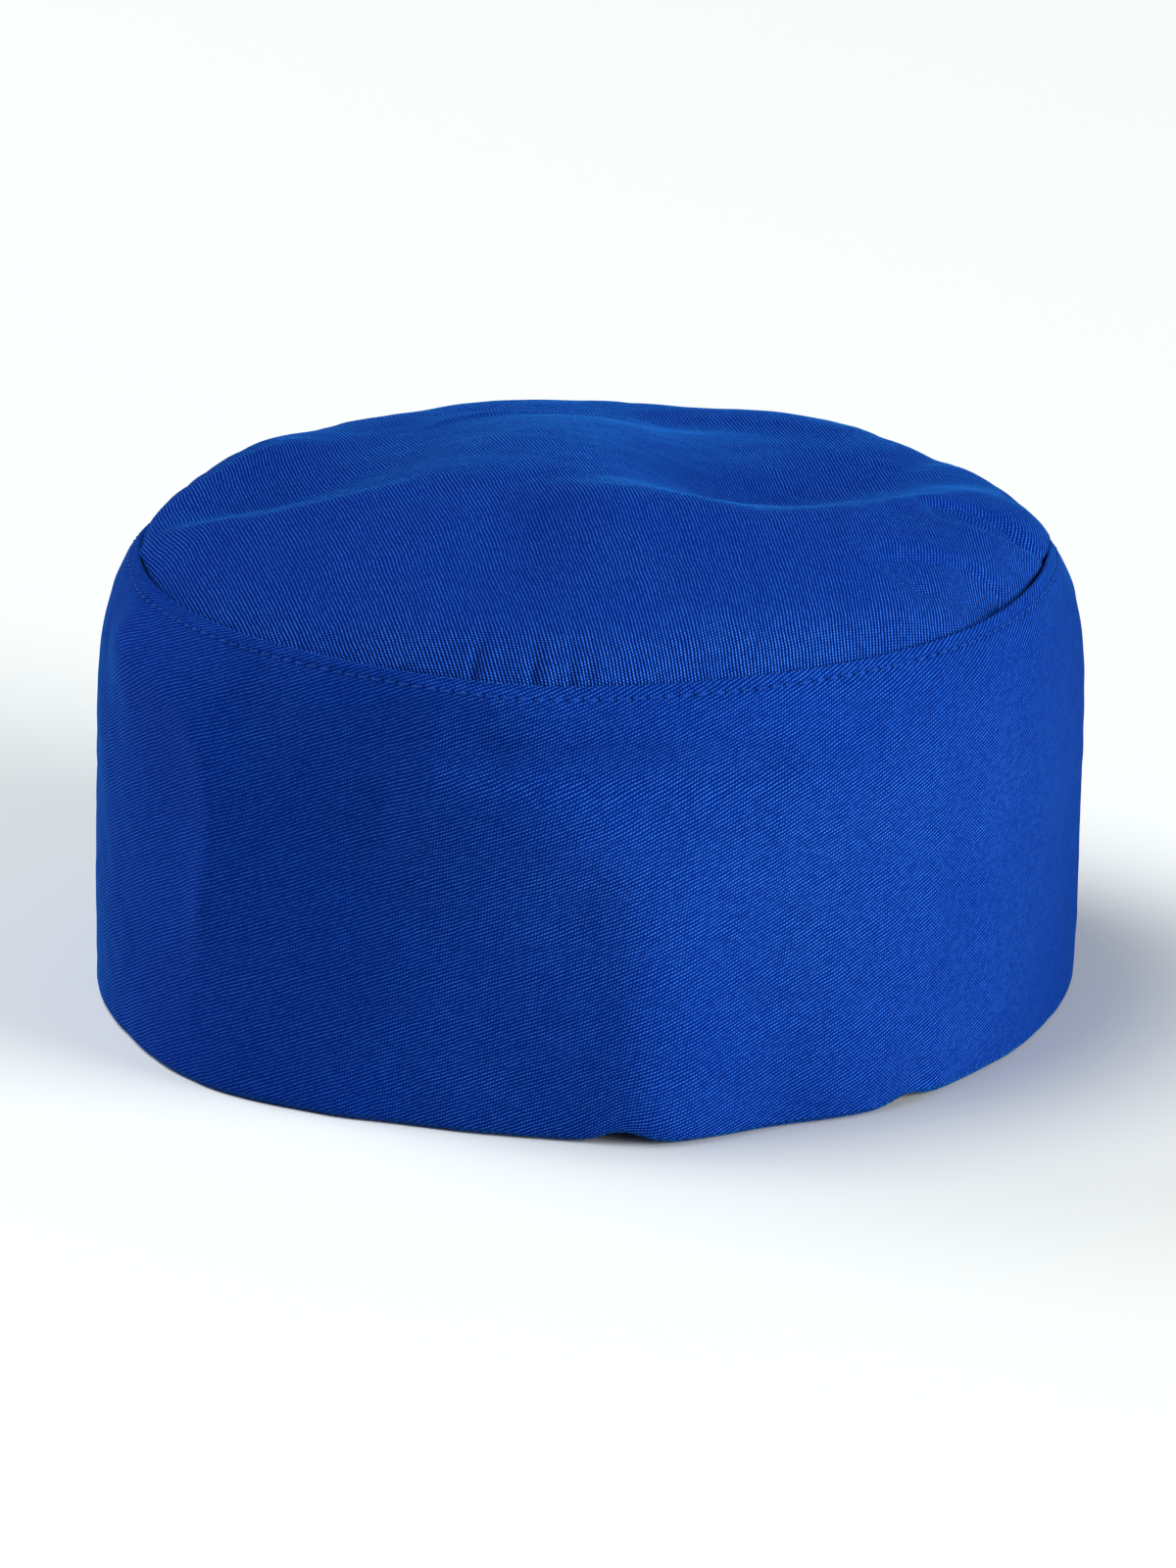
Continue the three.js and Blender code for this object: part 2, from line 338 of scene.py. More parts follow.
def edgeChange(turn, rows):
    total = 0
    for at, wide, rise in rows:
        total = total + rise * bell(np.radians(angleBetween(turn, at)) * band["halfWidth"], wide)
    return total


# Points on the outside of the band.
def bandPoint(turn, height):
    out = bandOffset(turn, height)
    lift = edgeChange(turn, band["hemLifts"]) * np.maximum(0, 1 - height / band["liftReach"]) ** 2
    dip = edgeChange(turn, band["rimDips"]) * (height / band["height"]) ** band["dipPower"]
    angle = np.radians(turn)
    return np.stack(
        [
            (band["halfWidth"] + out) * np.sin(angle),
            -(band["halfDepth"] + out) * np.cos(angle),
            height + (lift - dip),
        ],
        axis=-1,
    )


def bandNormal(turn, height, step=0.5):
    along = bandPoint(turn + step, height) - bandPoint(turn - step, height)
    above, below = np.minimum(band["height"], height + step), np.maximum(0, height - step)
    return unit(np.cross(along, bandPoint(turn, above) - bandPoint(turn, below)))


def clothThickness(height):
    share = np.clip(1 - (band["height"] - height) / band["edgeReach"], 0, 1)
    return band["thickness"] - (band["thickness"] - band["edgeThickness"]) * share**2 * (3 - 2 * share)


def insideBand(turn, height, depth):
    return bandPoint(turn, height) - bandNormal(turn, height) * np.asarray(depth)[..., None]


# Fine relief of the band's outer face, square to it.
def bandRelief(turn, height):
    below = band["height"] - height
    along = np.radians(turn) * band["meanRadius"]
    groove = band["stitchGroove"] * bell(below - band["stitchDrop"], band["stitchGrooveWide"])
    edge = band["edgeRoll"] * bell(below - band["edgeRollDrop"], band["edgeRollWide"])
    pad = band["allowanceStep"] / (1 + np.exp((below - band["allowanceEnd"]) / band["allowanceSoft"]))
    back = np.radians(angleBetween(turn, 180)) * band["meanRadius"]
    join = band["joinPad"] * bell(back, band["joinPadWide"]) ** 2
    join = join - band["joinGroove"] * bell(back, band["joinGrooveWide"])
    uneven = waveSum(band["waves"], along, height)
    scale = band["mmPerDegree"]
    forms = lineRelief(angleBetween(turn, 0) * scale, height, band["lines"], (scale, 1))
    return (pad + join + uneven + forms) * (1 - bell(below, band["edgeCalm"])) - groove + edge


def makeBand():
    turn, height = np.meshgrid(turns, outerHeights)
    outer = bandPoint(turn, height) + bandNormal(turn, height) * bandRelief(turn, height)[..., None]
    turnIn, heightIn = np.meshgrid(turns, innerHeights)
    inner = insideBand(turnIn, heightIn, clothThickness(heightIn))
    # the rolled top edge
    rim = np.full_like(turns, band["height"])
    top = bandNormal(turns, rim)
    up = unit(np.cross(top, unit(bandPoint(turns + 0.5, rim) - bandPoint(turns, rim))))
    centre = (outer[-1] + inner[0]) / 2
    radius = np.linalg.norm(outer[-1] - inner[0], axis=-1, keepdims=True) / 2
    angles = np.pi * np.arange(1, band["rollSteps"]) / band["rollSteps"]
    roll = np.stack([centre + top * radius * np.cos(a) + up * radius * np.sin(a) for a in angles])
    # the fold of the hem
    low = (outer[0] + inner[-1]) / 2
    out = outer[0] - low
    sag = np.array([0, 0, -band["hemRound"]])
    angles = np.pi * np.arange(1, band["hemSteps"]) / band["hemSteps"]
    bottom = np.stack([low - out * np.cos(a) + sag * np.sin(a) for a in angles])
    points = np.concatenate([outer, roll, inner, bottom])
    # cloth coordinates in mm: along the hem, and up the cloth
    along = lengthsAlong(bandPoint(turns, np.full_like(turns, band["lengthHeight"])))
    upCloth = lengthsAlong(points[:, 0]) + outerHeights[0]
    obj = gridObject("bandCloth", points, np.stack(np.meshgrid(along, upCloth), axis=-1))
    print("band", len(obj.data.polygons), "faces, hem", round(float(along[-1]), 1), "mm round")
    stitchHeight = band["height"] - band["stitchDrop"]
    stitchRow = float(np.interp(stitchHeight, outerHeights, upCloth[: len(outerHeights)]))
    return obj, np.append(along, 2 * along[-1] - along[-2]), stitchRow


# The topstitches: one row of thread, just under the band's top edge.
stitch = {
    "pitch": 3.08,
    "length": 2.3,
    "radius": 0.22,
    "tilt": 0.12,
    "rise": 0.5,  # the middle of a stitch stands out of the cloth by this share of its radius
    "dip": 2.6,  # and its ends lie this much deeper
    "taper": 0.35,
    "lengthSpread": (0.93, 1.07),
    "placeSpread": (-0.08, 0.08),
    "tiltSpread": (-0.06, 0.06),
    "seed": 31,
    "rings": 9,
    "sides": 8,
}


# Each stitch is placed by its distance along the band's cloth, half way up.
def makeStitches(along):
    height = band["height"] - band["stitchDrop"]
    places = np.append(turns, 180)
    count = round(along[-1] / stitch["pitch"])
    pitch = along[-1] / count
    rings, sides = stitch["rings"], stitch["sides"]
    s = np.linspace(-0.5, 0.5, rings)
    rise = stitch["radius"] * (stitch["rise"] - stitch["dip"] * np.abs(2 * s) ** 4)
    radius = stitch["radius"] * (1 - stitch["taper"] * np.abs(2 * s) ** 3)
    chance = np.random.default_rng(stitch["seed"])
    vertices, faces = [], []
    for n in range(count):
        own = stitch["length"] * chance.uniform(*stitch["lengthSpread"])
        middle = (n + 0.5) * pitch + chance.uniform(*stitch["placeSpread"])
        tilt = stitch["tilt"] + chance.uniform(*stitch["tiltSpread"])
        turn = np.interp((middle + s * own) % along[-1], along, places)
        heights = height + s * tilt * 2
        normal = bandNormal(turn, heights)
        surface = bandPoint(turn, heights) + normal * bandRelief(turn, heights)[:, None]
        centre = surface + normal * rise[:, None]
        tangent = unit(np.gradient(centre, axis=0))
        across = unit(np.cross(normal, tangent))
        base = len(vertices)
        for ring in range(rings):
            upward = np.cross(tangent[ring], across[ring])
            for side in range(sides):
                a = 2 * math.pi * side / sides
                spoke = across[ring] * math.cos(a) + upward * math.sin(a)
                vertices.append(centre[ring] + spoke * radius[ring])
        for ring in range(rings - 1):
            low, high = base + ring * sides, base + (ring + 1) * sides
            for side in range(sides):
                after = (side + 1) % sides
                faces.append([low + side, low + after, high + after, high + side])
        faces.append([base + side for side in reversed(range(sides))])
        faces.append([base + (rings - 1) * sides + side for side in range(sides)])
    obj = meshObject("topStitches", vertices, faces)
    print("stitches", count, "at", round(float(pitch), 2), "mm")
    return obj, float(pitch)


# The crown: a soft disc of twill, sewn inside the band's top edge and puffed up above it.
crown = {
    "thickness": 1.2,
    "gap": 0.3,
    # a slit opens between crown and band at both ends
    "slit": 0.7,
    "slitTurn": 79,
    "slitWide": 14,
    "slitFrom": 83,
    "slitTall": 6,
    "domeRise": 16.5,
    "domePower": 2.1,
    "domeLean": 0.2,
    "puffRise": 6,
    "puffPower": 18,
    "rimPower": 3.6,  # the rim keeps its height this strongly
    "seamRadius": 88,
    # the soft crease where the dome drops to a dished top: place across, how far back,
    # the share of the height lost behind it, how far behind it the drop takes, how soft the turn is
    "crease": [
        (-88, 2, 0.75, 24, 2.5),
        (-80, -12, 0.7, 26, 2.6),
        (-70, -26.5, 0.64, 30, 3),
        (-54, -30, 0.62, 34, 3.4),
        (-38, -27, 0.56, 42, 4),
        (-24, -25, 0.44, 60, 6),
        (-8, -28, 0.38, 76, 8),
        (4, -33, 0.42, 64, 7),
        (16, -39, 0.52, 44, 4),
        (30, -43, 0.6, 34, 3),
        (48, -34, 0.64, 30, 3),
        (64, -15, 0.64, 28, 3),
        (76, 3, 0.66, 26, 2.8),
        (88, 25, 0.68, 24, 2.5),
    ],
    # the cloth is pinched into a thin ridge along the crease, least in the middle: place across, rise
    "pinches": [
        (-82, 0), (-70, 0.8), (-48, 0.9), (-34, 0.5), (-16, 0),
        (6, 0), (22, 0.5), (40, 0.6), (70, 0.4), (82, 0),
    ],
    "pinchBehind": 2,
    "pinchWide": 5,
    # hills and dents: place, length, width, heading of the long side, rise
    "folds": [
        (-6, -60, 48, 15, 0, -1.8),  # flatter front
        (-12, -54, 22, 12, 96, -2),  # front valley
        (40, 2, 32, 14, 40, -4.2),  # hollow behind the right ridge
        (-60, 2, 20, 12, 10, -2.6),  # hollow behind the left ridge
        (4, 62, 38, 14, 0, -3.4),  # back slope
        (-2, 80, 30, 11, 0, -1.7),  # lower back crest
        (-66, 42, 20, 11, 48, 1.9),  # fuller back left
        (46, 68, 22, 9, 150, 0.6),  # fuller back right
        (66, 38, 12, 5, 70, -1.6),  # break between the two humps at the back right
        (-70, 22, 20, 6, 40, 2.4),  # left back ridge
        (-64, 2, 16, 8, 40, -1.4),  # left back valley
        (44, 58, 26, 8, 150, 1.0),  # right back crest
        (-78, 26, 22, 8, 64, 0.4),  # left end roll
        (80, 26, 20, 8, 116, 0.3),  # right end roll
    ],
    # ridges and hollows in plan
    "lines": [
        # the left flank of this fold is the dark front of the crown
        {
            "path": [(0, -22), (4, -40), (6, -56), (4, -76)],
            "wide": (18, 30),
            "soft": 4,
            "out": 2.6,
            "fade": 22,
        },
        # the long crest behind the middle, which the left ridge runs into
        {
            "path": [(-44, -18), (-30, -2), (-14, 14), (6, 24)],
            "wide": (9, 10),
            "soft": 3,
            "out": 0.5,
            "fade": 16,
        },
        # light lobe left of the gathers
        {"path": [(-30, -62), (-34, -78)], "wide": (5, 7), "out": 0.6, "fade": 8},
        # the left ridge runs on to the rim
        {
            "path": [(-90, -4), (-82, -10), (-74, -20), (-64, -28)],
            "wide": (4, 6),
            "soft": 1.5,
            "out": 0.9,
            "fade": 7,
        },
        # folds at the right end, which run out to the seam
        {"path": [(62, -19), (71, -15), (80, -12), (89, -9)], "wide": (3.4, 6.4), "out": -3.6, "fade": 11},
        {"path": [(67, -25), (76, -20), (84, -17), (91, -15)], "wide": (2.6, 3.4), "out": 1.4, "fade": 8},
        {"path": [(54, -54), (65, -47), (74, -42), (83, -37)], "wide": (4, 7), "out": -2.7, "fade": 10},
        # second ridge at the back left
        {"path": [(-80, 4), (-72, 16), (-62, 30), (-56, 44)], "wide": (3, 3), "out": 0.9, "fade": 8},
        # thin ridge near the back edge
        {"path": [(-36, 44), (-14, 52), (14, 62)], "wide": (3, 3), "out": 1.0, "fade": 12},
    ],
    # gathers at the seam: turn, width, how far in they reach, rise square to the cloth
    "gathers": [
        (-15.2, 0.6, 4, 0.3),
        (-13.8, 0.7, 5.5, -1.25),
        (-12.7, 0.6, 4, 0.3),
        (-10.4, 0.5, 3.4, -0.35),
        (-6.3, 0.7, 5.5, -1.25),
        (-5.2, 0.6, 3.6, 0.25),
        (-3.6, 0.45, 3.2, -0.5),
        (-1.9, 0.7, 4.5, -1.1),
        (-0.9, 0.5, 3, 0.2),
        (0.1, 0.5, 3.5, -0.85),
        (3.8, 0.4, 2.4, -0.35),
    ],
    "gatherIn": 1.5,  # how far inside the seam a gather is at its highest
    # faint gathers all the way round, one in every so many degrees
    "faintGathers": {
        "seed": 5,
        "every": 6,
        "shift": (-2.5, 2.5),
        "reach": (3, 9),
        "wide": (0.7, 2.0),
        "rise": (-0.3, 0.25),
    },
    # where the crown swells out above the seam: turn, width, how far in, rise
    "puffs": [(-22, 6, 5, 0.7), (1, 12, 6, 0.9), (-86, 18, 4, 0.7), (-106, 30, 5, 1.0), (92, 22, 6, 2.3)],
    "puffIn": 2.5,
    "waves": [(21, 26, 0.15), (22, 9, 0.04)],
    "waveEdge": 30,  # the unevenness stops short of the seam this sharply
    "columns": 600,
    # rows of the seam allowance under the edge, on the outside and the inside
    "flangeDrops": [10, 7.5, 5, 2.5, 1, 0],
    "underDrops": [10, 7.5, 5, 2.5, 0.8],
    # rows as shares of the way out from the middle: close rows at the seam, even ones, and the last few
    "seamRows": {"count": 12, "first": 0.0045, "growth": 1.35},
    "topRows": (0.865, 0.05, -0.0105),
    "middleRows": [0.045, 0.03, 0.016],
    "underSeamRows": [0.99, 0.975, 0.955, 0.93],
    "underRows": (0.9, 0.05, -0.035),
    "underMiddleRows": [0.03],
}

seamRows = crown["seamRows"]
seamShares = 1 - seamRows["first"] * np.arange(1, seamRows["count"] + 1) ** seamRows["growth"]
crownShares = np.concatenate([seamShares, np.arange(*crown["topRows"]), crown["middleRows"]])
crownShares = np.unique(np.round(crownShares, 5))[::-1]
underShares = np.concatenate(
    [crown["underSeamRows"], np.arange(*crown["underRows"]), crown["underMiddleRows"]]
)


# How far the crown stands in from the outside of the band.
def crownDepth(turn, height):
    opening = np.clip((height - crown["slitFrom"]) / crown["slitTall"], 0, 1) ** 2
    slit = crown["slit"] * bell(np.abs(turn) - crown["slitTurn"], crown["slitWide"]) * opening
    return clothThickness(height) + crown["gap"] + slit


def creaseValue(column, x):
    return curveThrough([r[0] for r in crown["crease"]], [r[column] for r in crown["crease"]], x)


def foldRise(x, y):
    total = 0
    for foldX, foldY, long, wide, heading, rise in crown["folds"]:
        angle = math.radians(heading)
        east, north = x - foldX, y - foldY
        along = east * math.cos(angle) + north * math.sin(angle)
        across = north * math.cos(angle) - east * math.sin(angle)
        total = total + rise * bell(along, long) * bell(across, wide)
    return total


# The share of the crown's height that is left behind the crease; the rim keeps more of it.
def creaseShare(x, y, share):
    behind = y - creaseValue(1, x)
    soft = creaseValue(4, x)
    distance = soft * np.logaddexp(0, behind / soft)
    drop = 1 - np.exp(-distance / creaseValue(3, x))
    return 1 - creaseValue(2, x) * drop * (1 - share ** crown["rimPower"])


# Points on top of the crown, at a share of the way from its middle out to the seam.
def crownPoint(turn, share):
    top = np.full_like(turn, band["height"])
    edge = insideBand(turn, top, crownDepth(angleBetween(turn, 0), top))
    x, y = edge[..., 0] * share, edge[..., 1] * share
    puff = 1 - share ** crown["puffPower"]
    lean = 1 - crown["domeLean"] * y / band["halfDepth"]
    dome = crown["puffRise"] + crown["domeRise"] * (1 - share ** crown["domePower"]) * lean
    height = dome * creaseShare(x, y, share) + foldRise(x, y)
    rim = band["height"] + (edge[..., 2] - band["height"]) * share ** crown["rimPower"]
    return np.stack([x, y, rim + puff * height], axis=-1)


# Fine relief of the crown, square to it.
def crownRelief(turn, share, points):
    inward = (1 - share) * crown["seamRadius"]
    x, y = points[..., 0], points[..., 1]
    total = np.zeros_like(share)

    def fromTurn(at):
        return np.radians(angleBetween(turn, at)) * crown["seamRadius"]

    def gather(at, wide, reach, rise):
        return rise * bell(fromTurn(at), wide * (1 + inward / reach)) * bell(inward - crown["gatherIn"], reach)

    for row in crown["gathers"]:
        total += gather(*row)
    faint = crown["faintGathers"]
    chance = np.random.default_rng(faint["seed"])
    for at in np.arange(-180, 180, faint["every"]):
        at = at + chance.uniform(*faint["shift"])
        reach, wide = chance.uniform(*faint["reach"]), chance.uniform(*faint["wide"])
        total += gather(at, wide, reach, chance.uniform(*faint["rise"]))
    total += lineRelief(x, y, crown["lines"])
    pinch = curveThrough(*zip(*crown["pinches"]), x)
    total += pinch * bell(y - creaseValue(1, x) - crown["pinchBehind"], crown["pinchWide"])
    for at, wide, reach, rise in crown["puffs"]:
        total += rise * bell(fromTurn(at), wide) * bell(inward - crown["puffIn"], reach)
    return total + waveSum(crown["waves"], x, y) * (1 - share ** crown["waveEdge"])


def makeCrown():
    around = -180 + 360 * np.arange(crown["columns"]) / crown["columns"]

    def flange(drops):
        turn, height = np.meshgrid(around, band["height"] - np.array(drops))
        return insideBand(turn, height, crownDepth(angleBetween(turn, 0), height))

    turn, share = np.meshgrid(around, crownShares)
    upper = crownPoint(turn, share)
    smooth = np.concatenate([flange(crown["flangeDrops"]), upper])
    moved = upper + gridNormals(smooth)[-len(upper):] * crownRelief(turn, share, upper)[..., None]
    outer = np.concatenate([smooth[: -len(upper)], moved])[::-1]
    turnIn, shareIn = np.meshgrid(around, underShares)
    under = np.concatenate([flange(crown["underDrops"]), crownPoint(turnIn, shareIn)])
    inner = under - gridNormals(under) * crown["thickness"]
    # cloth coordinates in mm: the distance over the cloth from the middle, in the direction of the point
    middle = crownPoint(np.array([0.0]), np.array([0.0]))[0]
    lengths = np.linalg.norm(outer[0] - middle, axis=-1) + lengthsAlong(outer)
    underLengths = np.maximum(lengths[-1] - lengthsAlong(inner), 1)
    lengths = np.concatenate([lengths, underLengths])
    angle = np.radians(around)
    uvs = np.stack([lengths * np.sin(angle), -lengths * np.cos(angle)], axis=-1)
    ends = (middle, [0, 0], middle - [0, 0, crown["thickness"]], [0, 0])
    obj = gridObject("crownCloth", np.concatenate([outer, inner]), uvs, ends)
    print("crown", len(obj.data.polygons), "faces")
    return obj


# An sRGB hex colour, turned linear.
def colour(text):
    parts = [int(text[i : i + 2], 16) / 255 for i in (1, 3, 5)]
    return [p / 12.92 if p <= 0.04045 else ((p + 0.055) / 1.055) ** 2.4 for p in parts] + [1]


def addNode(tree, kind, inputs=None, **settings):
    node = tree.nodes.new(kind)
    for key, value in settings.items():
        setattr(node, key, value)
    for socket, value in (inputs or {}).items():
        if isinstance(value, bpy.types.NodeSocket):
            tree.links.new(value, node.inputs[socket])
        else:
            node.inputs[socket].default_value = value
    return node


# Rows of sums on named values: name, operation, values that are numbers or earlier names.
def addSums(tree, known, rows):
    for name, operation, *values in rows:
        inputs = {i: known[v] if isinstance(v, str) else v for i, v in enumerate(values)}
        known[name] = addNode(tree, "ShaderNodeMath", inputs, operation=operation).outputs[0]


def newMaterial(name):
    material = bpy.data.materials.new(name)
    material.use_nodes = True
    material.node_tree.nodes.clear()
    return material, material.node_tree


# Polyester and cotton twill, woven, dyed in the piece and pressed. The eye gets fine slanting lines with a
# painted highlight on each float of yarn in place of real shine, and a paler haze of fibre ends where the
# cloth turns away.
# Lengths are in mm, as measured on the photo: the weave shows there, so it isn't drawn coarser.
bandTwill = {
    "heading": 24,  # of the twill line, up from the length of the cloth
    "linePitch": 0.665,
    "beadPitch": 0.665,  # from float to float along a line
    "beadShift": -0.6,  # the floats of a line lie this much further on than those of the line before
    "beadSwing": 0.3,
    "stray": 0.9,
    "weaveDepth": 0.1,
    "fuzzDepth": 0.35,  # share of the weave's depth
    "waveMiddle": 0.38,
    "lineContrast": 0.34,
    "paintedHighlight": 0.4,
    "highlightOwn": (0.6, 0.45),  # spread and least share of a float's own painted highlight
    # how much each noise changes the shade, or the painted highlight in the case of the highlight drift
    "spread": {"slub": 0.1, "cloud": 0.16, "fuzz": 0.2, "chance": 0.1, "highlightDrift": 0.8},
    # the pale tint of the painted highlight on the floats
    "highlightTint": "#64b0f8",
    "deep": "#00287e",
    "light": "#003799",
    "roughness": 0.86,
    "shine": 0.04,
    "sheen": 0.95,
    "sheenRoughness": 0.16,
    "sheenTint": "#34a0ff",
    # more painted light and shade on the weave, and more painted highlight, where the key lights the front of
    # the band
    "litZone": {"middle": 352, "wide": 90, "contrast": 0.3, "paintedHighlight": 0.3},
}

# The same cloth in one layer, cut as a disc, so that its lines run another way; more painted light and shade
# and painted highlight above the front seam, where the light grazes.
crownTwill = {
    **bandTwill,
    "heading": 102,
    "linePitch": 0.71,
    "lineContrast": 0.42,
    "paintedHighlight": 0.55,
    "litZone": {"from": 82, "wide": 10, "contrast": 1.2, "paintedHighlight": 0.28},
}

# Noise in the cloth: name, cells to the millimetre, detail, dimensions.
clothNoise = [
    ("wander", 0.12, 3, "3D"),  # lines stray a little over 8 mm
    ("slub", 0.9, 2, "2D"),  # thick and thin places of the yarn, about 1 mm
    ("fuzz", 3.2, 2, "3D"),  # fibre ends, 0.3 mm
    ("cloud", 0.045, 3, "3D"),  # uneven dye, over 22 mm
    ("highlightDrift", 0.03, 1, "3D"),  # drift in the strength of the painted highlight, over 33 mm
]


# A share of about one, which a noise changes by the given spread.
def aboutOne(name, noise, spread):
    return (name, "MULTIPLY_ADD", noise, spread, 1 - spread / 2)


# How much painted light and shade and painted highlight the weave gets, raised where the light falls on it.
def litZoneRows(look):
    litZone = look["litZone"]
    if "middle" in litZone:
        part = [
            ("fromMiddle", "SUBTRACT", "u", litZone["middle"]),
            ("fromMiddle2", "MULTIPLY", "fromMiddle", "fromMiddle"),
            ("middleFade", "MULTIPLY", "fromMiddle2", -1 / litZone["wide"] ** 2),
            ("litPart", "EXPONENT", "middleFade"),
        ]
    else:
        part = [
            ("outward", "MULTIPLY_ADD", "reach", 1 / litZone["wide"], -litZone["from"] / litZone["wide"]),
            ("outwardLow", "MAXIMUM", "outward", 0),
            ("outwardPart", "MINIMUM", "outwardLow", 1),
            ("forward", "MULTIPLY", "v", -1 / litZone["from"]),
            ("forwardPart", "MAXIMUM", "forward", 0),
            ("litPart", "MULTIPLY", "outwardPart", "forwardPart"),
        ]
    return part + [
        ("contrast", "MULTIPLY_ADD", "litPart", litZone["contrast"], look["lineContrast"]),
        ("highlightAmount", "MULTIPLY_ADD", "litPart", litZone["paintedHighlight"], look["paintedHighlight"]),
    ]


# Slanting ridges, each a row of floats, and the shade that they and the noise make: the ridges are painted
# lighter and the gaps darker, as painted light and shade, and the noise makes the tone uneven at random.
def weaveRows(look):
    a = math.radians(look["heading"])
    spread, swing = look["spread"], look["beadSwing"]
    return [
        ("uc", "MULTIPLY", "u", math.cos(a)),
        ("along", "MULTIPLY_ADD", "v", math.sin(a), "uc"),
        ("us", "MULTIPLY", "u", -math.sin(a)),
        ("straight", "MULTIPLY_ADD", "v", math.cos(a), "us"),
        ("across", "MULTIPLY_ADD", "wander", look["stray"], "straight"),
        ("line", "DIVIDE", "across", look["linePitch"]),
        ("lineNumber", "FLOOR", "line"),
        ("lineTurn", "MULTIPLY", "line", 2 * math.pi),
        ("lineWave", "COSINE", "lineTurn"),
        ("ridge", "MULTIPLY_ADD", "lineWave", -0.5, 0.5),
        ("beadPlace", "DIVIDE", "along", look["beadPitch"]),
        ("bead", "MULTIPLY_ADD", "line", look["beadShift"], "beadPlace"),
        ("beadTurn", "MULTIPLY", "bead", 2 * math.pi),
        ("beadWave", "COSINE", "beadTurn"),
        ("beadShare", "MULTIPLY_ADD", "beadWave", swing, 1 - swing),
        ("beadNumber", "FLOOR", "bead"),
        ("weaveHeight", "MULTIPLY", "ridge", "beadShare"),
        # the top of each float, where the painted highlight sits
        ("ridgeTop", "POWER", "ridge", 4),
        ("beadTop", "POWER", "beadShare", 2),
        ("yarnTop", "MULTIPLY", "ridgeTop", "beadTop"),
        ("fuzzHeight", "MULTIPLY", "fuzz", look["fuzzDepth"]),
        ("height", "ADD", "weaveHeight", "fuzzHeight"),
        ("wave", "SUBTRACT", "weaveHeight", look["waveMiddle"]),
        # painted light and shade of the weave: ridge tops lighter, gaps darker
        ("shade1", "MULTIPLY_ADD", "wave", "contrast", 1),
        aboutOne("slubPart", "slub", spread["slub"]),
        aboutOne("cloudPart", "cloud", spread["cloud"]),
        aboutOne("fuzzPart", "fuzz", spread["fuzz"]),
        ("shade2", "MULTIPLY", "shade1", "slubPart"),
        ("shade3", "MULTIPLY", "shade2", "cloudPart"),
        ("shade4", "MULTIPLY", "shade3", "fuzzPart"),
    ]


# Each float of yarn is a little lighter or darker at random, and gets a painted highlight on its top, of its
# own strength.
def floatRows(look):
    spread = look["spread"]
    return [
        aboutOne("ownPart", "chance", spread["chance"]),
        ("shade", "MULTIPLY", "shade4", "ownPart"),
        ("highlightOwn", "MULTIPLY_ADD", "chance", *look["highlightOwn"]),
        aboutOne("highlightDriftPart", "highlightDrift", spread["highlightDrift"]),
        ("highlightTop", "MULTIPLY", "yarnTop", "highlightOwn"),
        ("highlightPart", "MULTIPLY", "highlightTop", "highlightDriftPart"),
        ("paintedHighlight", "MULTIPLY", "highlightPart", "highlightAmount"),
    ]


# Needle holes between the stitches: pressed in by the bump and painted darker, as painted shade.
def needleRows(needle):
    return [
        ("needleTurn", "MULTIPLY", "u", 2 * math.pi / needle["pitch"]),
        ("needleWave", "COSINE", "needleTurn"),
        ("needleUp", "MULTIPLY_ADD", "needleWave", 0.5, 0.5),
        ("needleSpot", "POWER", "needleUp", needle["sharp"]),
        ("rowGap", "SUBTRACT", "v", needle["row"]),
        ("rowFar", "MULTIPLY", "rowGap", "rowGap"),
        ("rowFade", "MULTIPLY", "rowFar", -1 / needle["radius"] ** 2),
        ("rowSpot", "EXPONENT", "rowFade"),
        ("hole", "MULTIPLY", "needleSpot", "rowSpot"),
        ("holeShade", "MULTIPLY_ADD", "hole", -needle["dark"], 1),
        ("shade", "MULTIPLY", "shade", "holeShade"),
        ("paintedHighlight", "MULTIPLY", "paintedHighlight", "holeShade"),
        ("height", "MULTIPLY_ADD", "hole", -needle["deep"], "height"),
    ]


